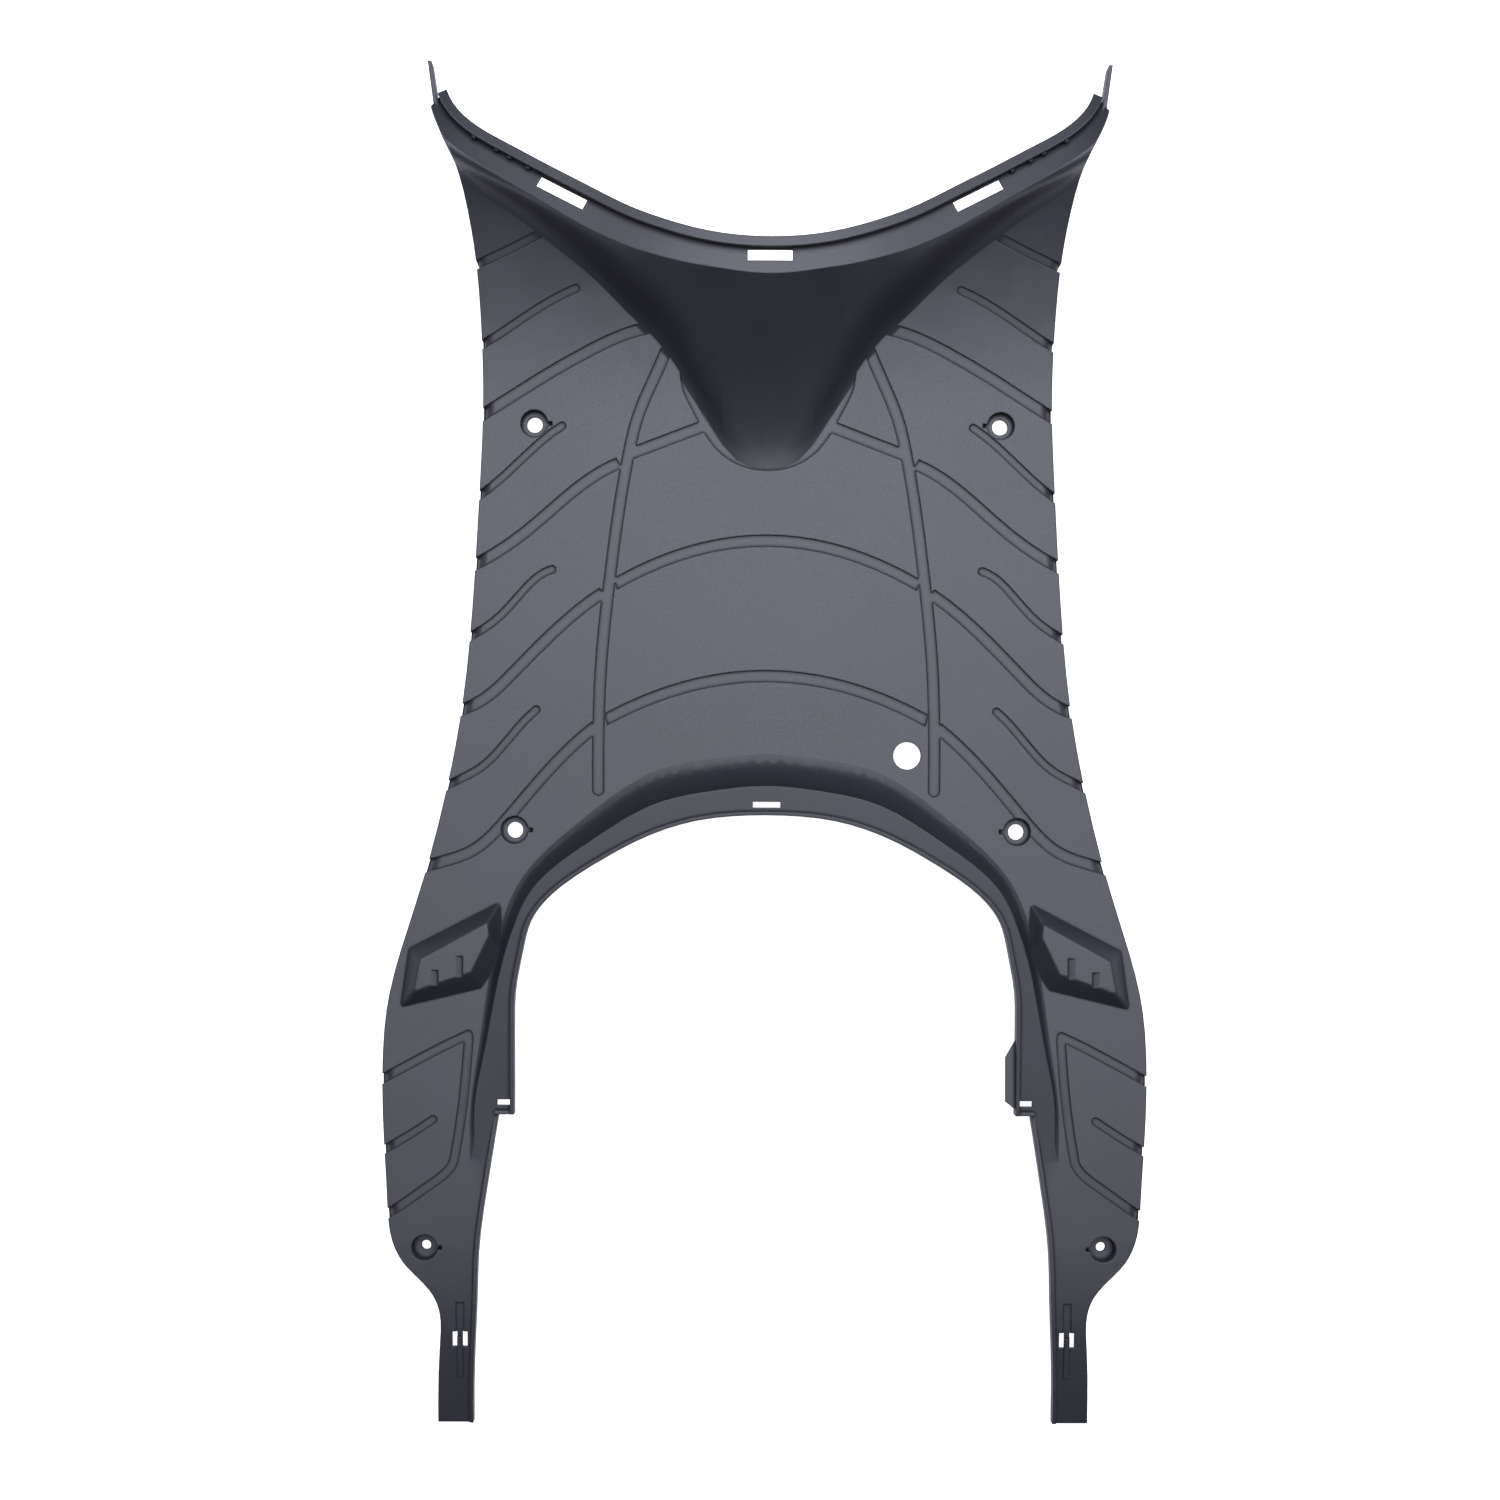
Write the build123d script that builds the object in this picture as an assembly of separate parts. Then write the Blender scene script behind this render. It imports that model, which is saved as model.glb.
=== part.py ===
from build123d import *
import os

# Driving dimensions in millimetres. X runs to the rider's right, Y forward and Z up.
# Heights are measured from the crown of the floor until the finished part is set on its skirt.
WALL = 2.6
GROOVE_DEPTH = 1.0
GROOVE_END = -9.0
MAIN_GROOVE_WIDTH = 6.6
SIDE_GROOVE_WIDTH = 4.6
ARM_GROOVE_WIDTH = 5.2
EDGE_RADIUS = 7.0
SKIRT_DROP = 26.0
FRONT_SKIRT = 24.0
FOOT_OVERLAP = 9.0
FOOT_BURY = 1.6
LEDGE_HEIGHT = 20.0
LEDGE_FALL = 0.105
SEAT_LIP_HEIGHT = 5.0
SEAT_LIP_WIDTH = 2.2
ARM_LIP_HEIGHT = 2.6
LIP_ROOT = 9.0
COVE_TOP = 30.0
RIM_HEIGHT = 7.0
RIM_LIP_WIDTH = 5.5
RIM_LIP_THICKNESS = 2.2
RIM_WALL = 2.5
PAD_HEIGHT = 9.0
PAD_EDGE = 2.5
PAD_CUT_WIDTH = 4.4
PAD_CUT_TILT = 16.0
CUP_DIAMETER = 15.6
CUP_DEPTH = 7.0
BOLT_HOLE = 9.0
ARM_CUP_DIAMETER = 14.6
ARM_CUP_DEPTH = 12.0
ARM_HOLE = 5.4
SEAT_THICKNESS = 3.0
FRONT_BOLTS = (132.8, 187.3)
REAR_BOLTS = (142.5, -43.8)
ARM_BOLTS = (192.0, -280.0)
ACCESS_HOLE = (79.8, -0.8)
ACCESS_DIAMETER = 15.6

# Stations of the pan from the tail to the front corner: y, half width and height of the floor.
PAN = [
    (-381, 185, -19), (-362, 184.6, -13.6), (-346, 184, -10), (-331, 183, -7.2), (-320, 183, -5.6), (-311, 185.2, -4.7),
    (-300.5, 192.4, -3.9), (-289, 203.6, -3.3), (-278, 209.6, -2.9), (-252, 213.2, -2.4), (-210, 215.7, -2.2),
    (-175, 216.3, -2.3), (-141, 213.5, -2.4), (-107, 204.9, -2.4), (-72, 194, -2.1), (-38, 185, -1.6), (-4, 177.6, -0.9),
    (30, 172, -0.3), (64, 168.4, 0), (125, 164.6, -0.6), (165, 162.8, -1.9), (190, 162, -2.6), (215, 162, -1.4),
    (245, 163, 3.5), (275, 165, 12.3), (305, 169.4, 25.4), (328, 175.5, 39.3), (341, 182, 48.2),
]
FLOOR_LINE = [(y, z) for y, x, z in PAN]
OUTER_EDGE = [(x, y) for y, x, z in PAN] + [(187.5, 355)]

# Front end of the floor under the fascia, from the middle to the right.
FLOOR_FRONT = [(0, 215), (58, 250), (101, 283), (135, 304.5), (164, 321.5), (192, 339)]

# Fascia sections from the middle to the right: x, then foot, two flank points, band and crest as (y, z).
FASCIA = [
    (0, (166, -2.0), (176, 0.8), (190, 7), (225, 30), (261.0, 68)),
    (12, (168, -2.1), (178, 0.8), (191.5, 6.8), (226, 29.5), (261.6, 67.8)),
    (22, (174, -2.3), (184, 2), (195, 8), (228, 29.5), (263, 67.6)),
    (30, (186, -2.4), (197, 5), (206, 12), (234, 33), (264.2, 67.4)),
    (42, (205, -1.9), (218, 9.5), (227, 20), (247, 43), (266.2, 66.8)),
    (58, (229, 0.6), (240.5, 15), (248, 30), (260, 50), (270, 65.5)),
    (78, (248, 4.2), (258.5, 20), (264.5, 38), (270.5, 53), (276.5, 62.5)),
    (101, (270, 10.6), (278.5, 24), (282.3, 40), (284.8, 52.5), (287.5, 58.5)),
    (135, (296, 21.2), (302.5, 31), (304.5, 42), (305.6, 50), (308, 54)),
    (164, (313, 29.7), (318.5, 37), (320, 44.5), (321.2, 49.5), (325.5, 52.5)),
    (179, (322, 35.2), (327.5, 41.5), (329, 46.5), (330.5, 50.5), (337.5, 53)),
    (193, (332, 41.8), (337.5, 47), (339.5, 50.5), (341.5, 53), (358, 54)),
]
LEDGE_REACH = 45.0
FASCIA_STEP = 8.0

# Front edge of the rim that stands on the fascia, from the middle to the right.
RIM_EDGE = [
    (0, 280), (37, 284), (57.7, 290), (78.6, 298.4), (98.7, 309.2), (121.5, 321.5), (144.2, 334), (163, 345),
    (172, 353), (178.6, 364.5),
]

# Top edge of the seat cove from the middle along the right arm: x, y and the width of the cove.
COVE_EDGE = [
    (0, -19.6, 22), (30, -22.4, 22), (58, -28.4, 21), (76, -36.5, 18), (97, -50, 15), (118, -65, 12),
    (131.5, -79, 10), (140, -97, 9), (146, -116, 8), (151.5, -143, 7), (156.5, -172, 6), (161, -205, 5.5),
    (164.5, -250, 5),
]

# Inner edge of the seat opening and of the right arm, from the middle to the tail.
SEAT_EDGE = [
    (0, -35), (41, -38.6), (73, -49.8), (93.8, -61.2), (111.7, -72.8), (125, -84.5), (132.6, -96), (136, -108),
    (138.6, -121), (140.8, -134), (141.4, -150), (141.4, -178), (141.4, -204),
]
ARM_EDGE = [(150.5, -204), (155, -233), (158.5, -256), (161.3, -279), (162.5, -312), (163.6, -335), (164.6, -390)]

# Centre lines of the tread grooves in plan. The cross grooves are whole, the others are the right-hand ones.
CROSS_GROOVES = [[(-86, 96), (0, 121), (86, 96)], [(-91, 19), (0, 44), (91, 19)]]
MAIN_GROOVES = [
    [(36, 186.5), (76, 171)],
    [(57.6, 229.5), (66, 210.7), (74, 191.3), (78.7, 172), (85.5, 129.7), (89.5, 97), (94, 49.4), (95.2, 15.7), (95.2, -21)],
    [(63, 242), (80.4, 238), (102, 228.3), (131, 211.8), (157, 195.3), (170, 187.6)],
    [(84.4, 165), (107.7, 150.8), (134.5, 127.5), (156, 112), (174, 103)],
    [(93, 91), (118.6, 70.5), (142.5, 46.5), (156, 33.4), (180, 22.5)],
    [(97, 15), (119.7, -6), (138, -27), (150.5, -41.8), (166, -55.5), (187, -63), (200, -67)],
]
SIDE_GROOVES = [
    [(172, 272), (156.5, 278.5), (129.5, 291)],
    [(170, 228), (158, 234), (138.5, 246.6), (117, 259), (109, 262.5)],
    [(172, 141), (158.5, 149.7), (138.5, 168), (121, 183.3), (117, 186)],
    [(177, 61), (164.7, 67.6), (154, 75), (139, 91), (126, 102.4), (122, 104)],
    [(188, -23), (175.6, -16.2), (162, -8.8), (146.5, 7.2), (130.5, 24.3)],
    [(222, -228.5), (211, -222.5), (187.5, -207.7)],
    [(171.9, -311), (171.9, -328.5)],
]
ARM_GROOVES = [
    [(224, -189), (211, -182), (190, -170.6), (168, -159.8)],
    [(167.6, -160.6), (169.3, -184), (171.8, -207), (175.6, -230.5)],
    [(175.2, -228.5), (177.2, -234.2), (181.5, -239), (191, -246), (207, -257.3), (222, -266)],
]
HUMP_BAND = [(0, 161), (17, 164.5), (28.5, 172.5), (37.6, 185), (43.3, 196), (48.5, 207), (51.3, 222), (53.6, 228)]

# Raised pillion pad on the right arm, at its foot and at its top.
PAD_BASE = [(149, -82), (203, -110), (208, -146), (160, -135), (147, -117)]
PAD_TOP = [(157, -96), (195, -117), (198.5, -135.5), (166, -124), (156, -103)]

# Sloped recesses in the top of the right pad: x, y and length.
PAD_CUTS = [(172.7, -121.5, 13), (186.5, -127.5, 9)]

DRAIN_LENGTH = 5.0
DRAIN_WIDTH = 2.4
SKIRT_START = 200.0
SLOT_WIDTH = 6.0
SEAT_SLOT_WIDTH = 3.2
CLIP = (171.9, -332)
TONGUE_HEIGHT = 1.2
RIB_POINTS = [(163, 338.7), (150.5, 331.6), (143.3, 327.5), (133.2, 321.8)]
RIB_BASE = 51.0
RIB_HEIGHT = 8.0
RIB_TURN = 29.5
BEYOND = 15.0
GUIDE_PLATE = [(183, 346), (185.6, 353), (189.5, 381), (187.4, 381), (183.2, 354), (180.4, 347)]
GUIDE_LOW = 34.0
GUIDE_HIGH = 50.0
SIDE_TAB = [(142, -160), (142, -201), (135.7, -196), (135.7, -171)]


def both_sides(half):
    """A curve measured from the middle to the right, carried on to the left."""
    return [(-x, y) for x, y in reversed(half[1:])] + list(half)


def moved_aside(points, distance):
    """The points of a plan curve moved to the left of its direction."""
    out = []
    last = len(points) - 1
    for i, here in enumerate(points):
        step = Vector(*points[min(i + 1, last)]) - Vector(*points[max(i - 1, 0)])
        side = Vector(-step.Y, step.X).normalized() * distance
        out.append((here[0] + side.X, here[1] + side.Y))
    return out


def strip(points, near, far, rounded=False):
    """A plan strip between two distances to the left of a curve, with its far end square or round."""
    inner = moved_aside(points, near)
    outer = moved_aside(points, far)
    end = Line(inner[-1], outer[-1])
    if rounded:
        along = (Vector(*points[-1]) - Vector(*points[-2])).normalized() * (far - near) / 2
        end = ThreePointArc(inner[-1], (points[-1][0] + along.X, points[-1][1] + along.Y), outer[-1])
    edges = [Spline(*inner), end, Spline(*reversed(outer)), Line(outer[0], inner[0])]
    return make_face(edges)


def column(sketch, low=-70.0, high=140.0):
    """A plan shape carried straight up."""
    return extrude(Pos(0, 0, low) * sketch, high - low)


def floor_height(y):
    """Height of the floor line at y, read between its points."""
    for (y0, z0), (y1, z1) in zip(FLOOR_LINE, FLOOR_LINE[1:]):
        if y0 <= y <= y1:
            return z0 + (z1 - z0) * (y - y0) / (y1 - y0)
    return FLOOR_LINE[0][1]


def below_floor(shift):
    """Everything under the floor line moved up by shift."""
    line = [(y, z + shift) for y, z in FLOOR_LINE]
    low = -80 - 4 * abs(shift)
    ends = Polyline(line[-1], (line[-1][0], low), (line[0][0], low), line[0])
    return extrude(Plane.YZ * make_face([Spline(*line), ends]), 230, both=True)


def pan(depth):
    """The floor, wells, arms and tails as one block with rounded sides."""
    right = [(x - depth, y) for x, y in OUTER_EDGE[:-1]]
    right[0] = (right[0][0], right[0][1] + depth)
    left = [(-x, y) for x, y in right]
    front = [p for p in both_sides(FLOOR_FRONT) if abs(p[0]) < right[-1][0] - 6]
    front = [left[-1]] + front + [right[-1]]
    edges = [Spline(*right), Spline(*left), Line(left[0], right[0]), Polyline(*front)]
    block = column(make_face(edges), -70 - 4 * depth) & below_floor(-depth)
    top = block.faces().filter_by(lambda f: f.normal_at(f.center()).Z > 0.3).sort_by(SortBy.AREA)[-1]
    sides = top.edges().filter_by(lambda e: e.length > 500)
    return fillet(sides, EDGE_RADIUS - depth)


def between(table, at):
    """A value between the rows of an (x, value) table, on a smooth curve through them."""
    last = len(table) - 1
    row = max(k for k in range(last) if table[k][0] <= at)
    slopes = []
    for k in (row, row + 1):
        before, after = table[max(k - 1, 0)], table[min(k + 1, last)]
        slopes.append((after[1] - before[1]) / (after[0] - before[0]))
    (x0, v0), (x1, v1) = table[row], table[row + 1]
    t = (at - x0) / (x1 - x0)
    bend = (slopes[0] * (1 - t) - slopes[1] * t) * t * (1 - t) * (x1 - x0)
    return v0 * (1 + 2 * t) * (1 - t) ** 2 + v1 * t * t * (3 - 2 * t) + bend


def fascia(depth, lift=0):
    """The raised front with its hump, as a solid block of narrow strips across the scooter."""
    low = -60 - 4 * depth
    rows = [(-row[0], *row[1:]) for row in reversed(FASCIA[1:4])] + FASCIA
    steps = round((rows[-1][0] - rows[0][0]) / FASCIA_STEP)
    sections = []
    for i in range(steps + 1):
        x = rows[0][0] + (rows[-1][0] - rows[0][0]) * i / steps
        line = []
        for k in range(1, len(rows[0])):
            line.append(tuple(between([(row[0], row[k][axis]) for row in rows], x) for axis in (0, 1)))
        start = line[0][0] - FOOT_OVERLAP
        line = [(start, floor_height(start) - FOOT_BURY)] + line
        line = [(y + 0.5 * depth, z - 0.9 * depth + lift) for y, z in line]
        crest = line[-1]
        fall = 0.3 * abs(x) / 193 * LEDGE_REACH
        ends = Polyline(
            crest, (crest[0] + LEDGE_REACH, crest[1] - fall), (crest[0] + LEDGE_REACH, low),
            (line[0][0], low), line[0],
        )
        sections.append(Plane.YZ.offset(x) * make_face([Spline(*line), ends]))
    return loft(sections, ruled=True)


def seat(depth):
    """The cove round the seat opening, as a solid block lofted along its top edge."""
    shift = 0.75 * depth
    low = -50 - 4 * depth
    inward = -18 - 2 * depth
    path = both_sides([(x, y) for x, y, _ in COVE_EDGE])
    widths = [row[2] for row in reversed(COVE_EDGE[1:])] + [row[2] for row in COVE_EDGE]
    outward = moved_aside(path, 1)
    sections = []
    for at, towards, width in zip(path, outward, widths):
        base = floor_height(at[1])
        line = [(width + FOOT_OVERLAP, -FOOT_BURY), (width, 0)]
        line += [(0.6 * width, 0.09 * COVE_TOP), (0.3 * width, 0.3 * COVE_TOP), (0.1 * width, 0.57 * COVE_TOP)]
        line += [(0, COVE_TOP)]
        line = [(n - shift, base + z - shift) for n, z in line]
        ends = Polyline(line[-1], (inward, line[-1][1]), (inward, low), (line[0][0], low), line[0])
        across = Vector(*towards) - Vector(*at)
        place = Plane(origin=(*at, 0), x_dir=across, z_dir=across.cross(Vector(0, 0, 1)))
        sections.append(place * make_face([even_spline(line), ends]))
    return loft(sections) & below_ledge(-depth)


def below_ledge(shift):
    """Everything under the sloping plane of the seat ledge moved up by shift."""
    front, rear = 60, -330
    top = [(y, LEDGE_HEIGHT + LEDGE_FALL * (y - COVE_EDGE[0][1]) + shift) for y in (rear, front)]
    return extrude(Plane.YZ * make_face(Polyline(*top, (front, -110), (rear, -110), close=True)), 230, both=True)


def opening():
    """The plan of the seat opening, from the floor back between the arms."""
    curve = both_sides(SEAT_EDGE)
    right = [SEAT_EDGE[-1], *ARM_EDGE]
    left = [(-x, y) for x, y in right]
    edges = [
        Spline(*curve), Line(right[0], right[1]), Spline(*right[1:]), Line(right[-1], left[-1]),
        Spline(*left[1:]), Line(left[1], left[0]),
    ]
    return make_face(edges)


def front_plan(depth, end):
    """The plan of the fascia between its side edges, with the rim line or an open end in front."""
    right = [(x - depth, y) for x, y in OUTER_EDGE if y > 100]
    left = [(-x, y) for x, y in right]
    edges = [Spline(*right), Spline(*left), Line(left[0], right[0]), Line(right[-1], end[-1]), Line(end[0], left[-1])]
    return make_face(edges + [Spline(*end)])


def groove_plan():
    """Every groove of the tread in plan, and the sunk band round the hump."""
    sketch = Sketch()
    for line in CROSS_GROOVES:
        sketch += strip(line, -MAIN_GROOVE_WIDTH / 2, MAIN_GROOVE_WIDTH / 2)
    for width, lines in (
        (MAIN_GROOVE_WIDTH, MAIN_GROOVES), (SIDE_GROOVE_WIDTH, SIDE_GROOVES), (ARM_GROOVE_WIDTH, ARM_GROOVES)
    ):
        for line in lines:
            band = strip(line, -width / 2, width / 2, rounded=True)
            sketch += band
            sketch += mirror(band, Plane.YZ)
    edge = both_sides(HUMP_BAND)
    sketch += make_face([Spline(*edge), Line(edge[-1], edge[0])])
    return sketch


def raised_pad(depth):
    """One raised pillion pad block on the right arm."""
    base_z = floor_height(PAD_BASE[0][1]) - FOOT_BURY - depth
    top_z = floor_height(PAD_BASE[0][1]) + PAD_HEIGHT - depth
    faces = []
    for points, z in ((PAD_BASE, base_z), (PAD_TOP, top_z)):
        middle = sum((Vector(*p) for p in points), Vector()) / len(points)
        inset = [Vector(*p) + (middle - Vector(*p)).normalized() * depth for p in points]
        faces.append(Pos(0, 0, z) * make_face(Polyline(*inset, close=True)))
    block = loft(faces, ruled=True)
    if depth > 0:
        return block
    return fillet(block.edges().filter_by(lambda e: e.center().Z > base_z + 1), PAD_EDGE)


def even_spline(points):
    """A smooth line that passes its points at even steps, so that lofts through such lines stay light."""
    steps = [i / (len(points) - 1) for i in range(len(points))]
    return Edge.make_spline([Vector(*p) for p in points], parameters=steps)


def right_of(body, x=0.0):
    """The part of a body to the right of a plane across X."""
    return body & Pos(x, 0, 0) * Box(600, 1000, 500, align=(Align.MIN, Align.CENTER, Align.CENTER))


def cup(at, diameter, depth, hole):
    """A sunk screw cup at a plan point: its boss, then everything that is taken out of it."""
    z = floor_height(at[1])
    under = Align.CENTER, Align.CENTER, Align.MAX
    boss = Pos(*at, z - GROOVE_DEPTH - 0.4) * Cylinder(
        diameter / 2 + WALL, depth + SEAT_THICKNESS - GROOVE_DEPTH - 0.4, align=under
    )
    well = Pos(*at, z + 20) * Cylinder(diameter / 2, depth + 20, align=under)
    bore = Pos(*at, z) * Cylinder(hole / 2, depth + SEAT_THICKNESS + 5, align=under)
    drain = Pos(at[0] - diameter / 2, at[1], z + 5) * Box(DRAIN_LENGTH, DRAIN_WIDTH, depth + 5, align=under)
    return boss, [well, bore, drain]


def slot(at, length, width, turn):
    """A slot cut straight down through a ledge."""
    return Pos(*at, 30) * Rot(0, 0, turn) * Box(length, width, 120)


def bar(points, low, high):
    """A flat plan polygon carried up from one height to another."""
    return column(make_face(Polyline(*points, close=True)), low, high)


# The form is closed blocks first, and only the right half is worked on.
rim_line = both_sides(RIM_EDGE)
rim_back = moved_aside(rim_line, RIM_WALL / 2 - RIM_LIP_WIDTH)
open_end = [(-OUTER_EDGE[-1][0], 420), (0, 420), (OUTER_EDGE[-1][0], 420)]
fascia_block = fascia(0)
fascia_outer = fascia_block & column(front_plan(0, rim_back))
fascia_inner = fascia(WALL) & column(front_plan(WALL, open_end))
seat_block = seat(0)

# The half block of the form is hollowed by the same form set in by the wall.
half = right_of(pan(0)) + [right_of(fascia_outer), right_of(seat_block), raised_pad(0)]
half -= [right_of(pan(WALL), -BEYOND), right_of(fascia_inner, -BEYOND), right_of(seat(WALL), -BEYOND), raised_pad(WALL)]

# Everything under the lower edge of the skirt and in the seat opening is cleared away.
skirt_line = [(y, z - FRONT_SKIRT) for y, z in FLOOR_LINE if y > 240]
skirt_line = [(SKIRT_START, -SKIRT_DROP)] + skirt_line
low = Polyline(skirt_line[-1], (430, skirt_line[-1][1]), (430, -90), (-430, -90), (-430, -SKIRT_DROP), skirt_line[0])
under_skirt = extrude(Plane.YZ * make_face([Spline(*skirt_line, tangents=[(1, 0), (1, 0.8)]), low]), 240, both=True)
half -= [under_skirt, column(opening())]

# The rim that stands on the fascia, with its forward lip, clip ribs and the guide plate at the corner.
rim_top = fascia(0, RIM_HEIGHT)
rim_wall = (column(strip(rim_line, -RIM_LIP_WIDTH, RIM_WALL - RIM_LIP_WIDTH)) & rim_top) - fascia(WALL)
rim_lip = (column(strip(rim_line, -RIM_LIP_WIDTH, 0)) & rim_top) - fascia(0, RIM_HEIGHT - RIM_LIP_THICKNESS)
added = [right_of(rim_wall), right_of(rim_lip), bar(GUIDE_PLATE, GUIDE_LOW, GUIDE_HIGH)]
for x, y in RIB_POINTS:
    added.append(Pos(x, y, RIB_BASE) * Rot(0, 0, RIB_TURN) * Box(2.4, 3, RIB_HEIGHT))

# The lips round the seat opening and along the arm, with the wall at the end of the ledge.
seat_lip = column(strip(both_sides(SEAT_EDGE), 0, SEAT_LIP_WIDTH)) & below_ledge(SEAT_LIP_HEIGHT)
arm_lip = column(strip(ARM_EDGE, 0, SEAT_LIP_WIDTH)) & below_floor(ARM_LIP_HEIGHT)
end_x, end_y = SEAT_EDGE[-1]
end_wall = [(end_x, end_y), (end_x + 11, end_y), (end_x + 11, end_y + SEAT_LIP_WIDTH), (end_x, end_y + SEAT_LIP_WIDTH)]
added += [right_of(seat_lip - below_ledge(-LIP_ROOT)), arm_lip - [below_floor(-LIP_ROOT), under_skirt]]
added.append(bar(end_wall, -LIP_ROOT, SEAT_LIP_HEIGHT - 0.4))

# Screw cups, the ledge slots, the recesses of the pad and the tail clip.
cuts = [slot((0, 271), 24.5, SLOT_WIDTH, 0), slot((114.7, 307), 29, SLOT_WIDTH, 28)]
cuts += [slot((0, -29), 15.4, SEAT_SLOT_WIDTH, 0), slot((147.3, -197.4), 7.4, SEAT_SLOT_WIDTH, 0)]
for at, diameter, depth, hole in (
    (FRONT_BOLTS, CUP_DIAMETER, CUP_DEPTH, BOLT_HOLE),
    (REAR_BOLTS, CUP_DIAMETER, CUP_DEPTH, BOLT_HOLE),
    (ARM_BOLTS, ARM_CUP_DIAMETER, ARM_CUP_DEPTH, ARM_HOLE),
):
    boss, taken = cup(at, diameter, depth, hole)
    added.append(boss)
    cuts += taken
for side in (-1, 1):
    cuts.append(slot((CLIP[0] + side * 2.9, CLIP[1]), 2.8, 8.6, 0))
pad_top = floor_height(PAD_BASE[0][1]) + PAD_HEIGHT
for x, y, length in PAD_CUTS:
    cuts.append(Pos(x, y, pad_top + 0.3) * Rot(0, -PAD_CUT_TILT, 0) * Box(PAD_CUT_WIDTH, length, 1.8))
tongue = bar([(CLIP[0] - 1.5, -354), (CLIP[0] + 1.5, -354), (CLIP[0] + 1.5, -326), (CLIP[0] - 1.5, -326)], -60, 60)
added.append((tongue & below_floor(TONGUE_HEIGHT)) - below_floor(-WALL / 2))

# The tread grooves follow the floor at their own depth, run over its rounded sides and stop where the hump and cove rise.
tread = right_of(column(groove_plan(), GROOVE_END), -BEYOND)
tread -= [right_of(body, -2 * BEYOND) for body in (pan(GROOVE_DEPTH), seat_block, fascia_block)]
half += added
half -= [*cuts, tread]

# The left half is the twin of the right one, which alone has the access hole and the small tab.
left = mirror(half, Plane.YZ)
right = half - Pos(*ACCESS_HOLE, 0) * Cylinder(ACCESS_DIAMETER / 2, 60)
right += bar(SIDE_TAB, 0.4, 3.0)
shell = right + left

os.makedirs("parts", exist_ok=True)
export_step(Pos(0, 0, SKIRT_DROP) * shell, "parts/floorboard.step", write_pcurves=False)
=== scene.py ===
import math

import bmesh
import bpy
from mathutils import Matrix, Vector


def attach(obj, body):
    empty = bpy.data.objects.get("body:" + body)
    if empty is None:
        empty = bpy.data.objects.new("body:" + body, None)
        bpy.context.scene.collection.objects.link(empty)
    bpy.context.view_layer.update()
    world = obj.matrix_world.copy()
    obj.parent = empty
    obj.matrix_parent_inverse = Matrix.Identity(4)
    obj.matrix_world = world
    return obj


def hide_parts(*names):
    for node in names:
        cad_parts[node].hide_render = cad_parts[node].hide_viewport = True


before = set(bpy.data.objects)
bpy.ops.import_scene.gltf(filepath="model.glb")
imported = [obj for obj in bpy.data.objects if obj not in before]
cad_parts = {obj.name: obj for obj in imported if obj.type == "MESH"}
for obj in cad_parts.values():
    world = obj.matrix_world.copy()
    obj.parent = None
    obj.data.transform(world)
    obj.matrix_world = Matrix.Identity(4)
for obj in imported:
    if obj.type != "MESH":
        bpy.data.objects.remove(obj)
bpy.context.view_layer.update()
scene = bpy.context.scene
scene.view_settings.view_transform = "Standard"


def linear(hex_colour):
    """An sRGB hex colour as linear red, green, blue and alpha."""
    values = [int(hex_colour[i:i + 2], 16) / 255 for i in (1, 3, 5)]
    return [v / 12.92 if v <= 0.04045 else ((v + 0.055) / 1.055) ** 2.4 for v in values] + [1.0]


def empty_tree(owner):
    """The node tree of a material or a world, with its nodes taken out."""
    owner.use_nodes = True
    owner.node_tree.nodes.clear()
    return owner.node_tree


def add_node(tree, kind, settings=None, values=None, links=None):
    """Adds a node to a tree, sets its properties and input values, and links its inputs."""
    node = tree.nodes.new(kind)
    for name, value in (settings or {}).items():
        setattr(node, name, value)
    for name, value in (values or {}).items():
        node.inputs[name].default_value = value
    for name, socket in (links or {}).items():
        tree.links.new(socket, node.inputs[name])
    return node


# The floorboard is one injection moulding in charcoal polypropylene: foot floor, toe fascia, seat edge
# and arms. Its mould was etched to a fine satin grain, and screws in the sunk cups hold it to the frame.
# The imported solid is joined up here, so that curved faces shade smoothly and only true edges stay crisp.
crease_angle = math.radians(13)
weld_distance = 0.00001

shell_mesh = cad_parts["floorboard"].data.copy()
shell_mesh.name = "floorboard_shell"
shell_mesh.materials.clear()
joined = bmesh.new()
joined.from_mesh(shell_mesh)
bmesh.ops.remove_doubles(joined, verts=joined.verts, dist=weld_distance)
bmesh.ops.dissolve_degenerate(joined, edges=joined.edges, dist=weld_distance)
for face in joined.faces:
    face.smooth = True
for edge in joined.edges:
    edge.smooth = edge.is_manifold and edge.calc_face_angle() < crease_angle
joined.to_mesh(shell_mesh)
joined.free()
shell = bpy.data.objects.new("floorboard_shell", shell_mesh)
scene.collection.objects.link(shell)
even_normals = shell.modifiers.new("even_normals", "WEIGHTED_NORMAL")
even_normals.mode = "FACE_AREA"
even_normals.keep_sharp = True


# Moulded polypropylene, charcoal, from an etched mould: a soft satin sheen with no clear reflections.
# The etched grain is about 0.3 mm wide and is drawn at 1.0 mm so that it shows.
# The colour drifts a little, as moulded plastic does.
# Corners are eased by the mould to about 1 mm. Painted shade darkens the foot of every groove to a thin
# near-black line, and the plastic is drawn duller there.
drift_mm = 70.0
drift_dark = "#25262c"
drift_light = "#2a2b32"
groove_shade_reach_mm = 2.2
# Painted shade: the near-black colour laid into the foot of the grooves, where their walls close in.
painted_groove_shade = "#0f1013"
groove_roughness = 1.0
groove_shade_share = 0.9
light_deep_in_groove = 0.45
light_clear_of_groove = 0.95
grain_mm = 1.0
grain_height_mm = 0.3
grain_strength = 0.15
least_roughness = 0.42
most_roughness = 0.54
eased_edge_mm = 1.0
plastic_ior = 1.54

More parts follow.
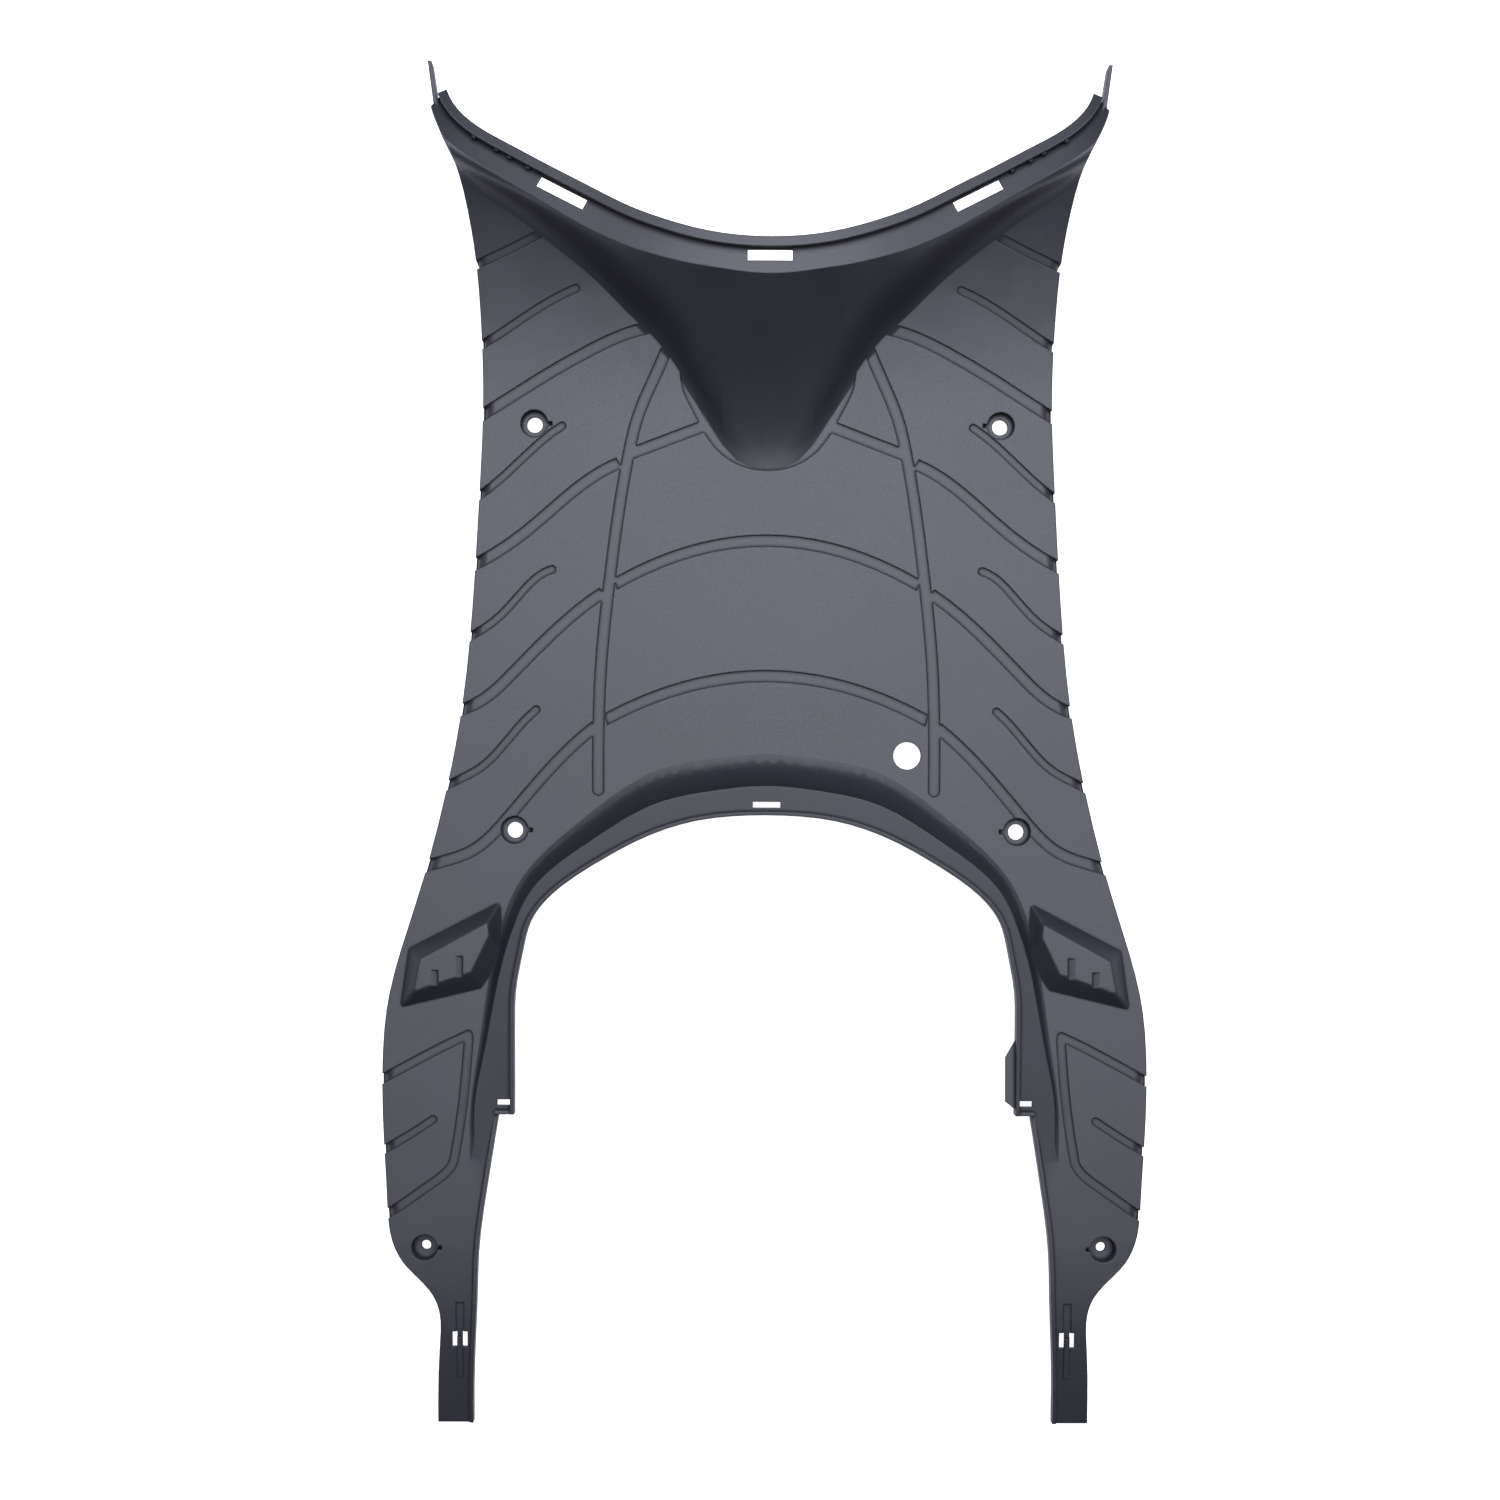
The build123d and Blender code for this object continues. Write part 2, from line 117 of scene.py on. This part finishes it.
plastic = bpy.data.materials.new("moulded_charcoal_polypropylene")
tree = empty_tree(plastic)
place = add_node(tree, "ShaderNodeTexCoord")
drift = add_node(
    tree, "ShaderNodeTexNoise",
    values={"Scale": 1000 / drift_mm, "Detail": 3.0, "Roughness": 0.5},
    links={"Vector": place.outputs["Object"]},
)
tone = add_node(tree, "ShaderNodeValToRGB", links={"Fac": drift.outputs["Fac"]})
darker, lighter = tone.color_ramp.elements
darker.position = 0.3
darker.color = linear(drift_dark)
lighter.position = 0.7
lighter.color = linear(drift_light)
crevice = add_node(
    tree, "ShaderNodeAmbientOcclusion",
    settings={"samples": 8},
    values={"Distance": groove_shade_reach_mm / 1000},
)
groove_shade_mask = add_node(
    tree, "ShaderNodeMapRange",
    values={
        "From Min": light_deep_in_groove, "From Max": light_clear_of_groove,
        "To Min": groove_shade_share, "To Max": 0.0,
    },
    links={"Value": crevice.outputs["AO"]},
)
# Painted shade: the charcoal is mixed towards near black where the ambient occlusion finds the grooves
# closing in.
shaded = add_node(
    tree, "ShaderNodeMix",
    settings={"data_type": "RGBA"},
    values={"B": linear(painted_groove_shade)},
    links={"Factor": groove_shade_mask.outputs["Result"], "A": tone.outputs["Color"]},
)
grain = add_node(
    tree, "ShaderNodeTexNoise",
    values={"Scale": 1000 / grain_mm, "Detail": 2.0, "Roughness": 0.6},
    links={"Vector": place.outputs["Object"]},
)
sheen = add_node(
    tree, "ShaderNodeMapRange",
    values={"To Min": least_roughness, "To Max": most_roughness},
    links={"Value": grain.outputs["Fac"]},
)
dulled = add_node(
    tree, "ShaderNodeMix",
    settings={"data_type": "FLOAT"},
    values={"B": groove_roughness},
    links={"Factor": groove_shade_mask.outputs["Result"], "A": sheen.outputs["Result"]},
)
eased = add_node(
    tree, "ShaderNodeBevel",
    settings={"samples": 6},
    values={"Radius": eased_edge_mm / 1000},
)
etch = add_node(
    tree, "ShaderNodeBump",
    values={"Strength": grain_strength, "Distance": grain_height_mm / 1000},
    links={"Height": grain.outputs["Fac"], "Normal": eased.outputs["Normal"]},
)
surface = add_node(
    tree, "ShaderNodeBsdfPrincipled",
    values={"IOR": plastic_ior},
    links={
        "Base Color": shaded.outputs["Result"],
        "Roughness": dulled.outputs["Result"],
        "Normal": etch.outputs["Normal"],
    },
)
add_node(tree, "ShaderNodeOutputMaterial", links={"Surface": surface.outputs["BSDF"]})
shell_mesh.materials.append(plastic)
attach(shell, "root")
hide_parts("floorboard")


# The stage is a white studio floor just under the skirts, which keeps the part's soft shadow.
# What the camera sees of it directly is lifted to white, and its bounce on the part stays that of paper.
floor_half = 6.0
floor_drop = 0.0006
paper_white = "#f4f4f4"
paper_lift = 0.9

floor_mesh = bpy.data.meshes.new("studio_floor")
corners = [
    (-floor_half, -floor_half),
    (floor_half, -floor_half),
    (floor_half, floor_half),
    (-floor_half, floor_half),
]
floor_mesh.from_pydata([(x, y, -floor_drop) for x, y in corners], [], [(0, 1, 2, 3)])
studio_floor = bpy.data.objects.new("studio_floor", floor_mesh)
scene.collection.objects.link(studio_floor)
paper = bpy.data.materials.new("white_paper")
tree = empty_tree(paper)
path = add_node(tree, "ShaderNodeLightPath")
matte = add_node(tree, "ShaderNodeBsdfDiffuse", values={"Color": linear(paper_white)})
lift = add_node(
    tree, "ShaderNodeMath",
    settings={"operation": "MULTIPLY"},
    values={1: paper_lift},
    links={0: path.outputs["Is Camera Ray"]},
)
lifted = add_node(
    tree, "ShaderNodeEmission",
    values={"Color": linear("#ffffff")},
    links={"Strength": lift.outputs["Value"]},
)
both = add_node(
    tree, "ShaderNodeAddShader",
    links={0: matte.outputs["BSDF"], 1: lifted.outputs["Emission"]},
)
add_node(tree, "ShaderNodeOutputMaterial", links={"Surface": both.outputs["Shader"]})
floor_mesh.materials.append(paper)


# Light is one large soft box overhead, a little to the front, with weak ones at the sides.
# Level faces send its soft glow back up to the camera, and every slope falls off into charcoal.
lamp_tint = "#eceefb"


def soft_box(name, at, aim, size, watts):
    """A square area lamp at a point, turned towards another point."""
    lamp = bpy.data.lights.new(name, "AREA")
    lamp.shape = "SQUARE"
    lamp.size = size
    lamp.energy = watts
    lamp.color = linear(lamp_tint)[:3]
    holder = bpy.data.objects.new(name, lamp)
    holder.location = at
    holder.rotation_euler = (Vector(aim) - Vector(at)).to_track_quat("-Z", "Y").to_euler()
    scene.collection.objects.link(holder)


soft_box("overhead_box", at=(0.12, 0.56, 2.35), aim=(0.06, 0.2, 0.0), size=1.9, watts=84.0)
soft_box("left_box", at=(-1.9, 0.3, 1.0), aim=(0.0, 0.0, 0.0), size=1.0, watts=4.0)
soft_box("right_box", at=(1.9, 0.3, 1.0), aim=(0.0, 0.0, 0.0), size=1.0, watts=4.0)


# The air is a faint white fill on the part, and plain white where the camera sees past the floor.
fill_on_part = 0.07
fill_behind = 1.0

world = bpy.data.worlds.new("studio_air")
scene.world = world
tree = empty_tree(world)
path = add_node(tree, "ShaderNodeLightPath")
level = add_node(
    tree, "ShaderNodeMapRange",
    values={"To Min": fill_on_part, "To Max": fill_behind},
    links={"Value": path.outputs["Is Camera Ray"]},
)
air = add_node(
    tree, "ShaderNodeBackground",
    values={"Color": linear("#ffffff")},
    links={"Strength": level.outputs["Result"]},
)
add_node(tree, "ShaderNodeOutputWorld", links={"Surface": air.outputs["Background"]})


# The camera looks down on the floor from 1.72 m, turned by small angles that match the photograph's framing.
camera_at = (-0.0241, -0.0366, 1.724)
camera_turn_degrees = (1.301, -0.506, 0.256)
lens_mm = 71.94
sensor_mm = 36.0

camera_data = bpy.data.cameras.new("camera")
camera_data.sensor_width = sensor_mm
camera_data.lens = lens_mm
camera = bpy.data.objects.new("camera", camera_data)
camera.location = camera_at
camera.rotation_euler = [math.radians(angle) for angle in camera_turn_degrees]
scene.collection.objects.link(camera)
scene.camera = camera

bpy.context.view_layer.update()
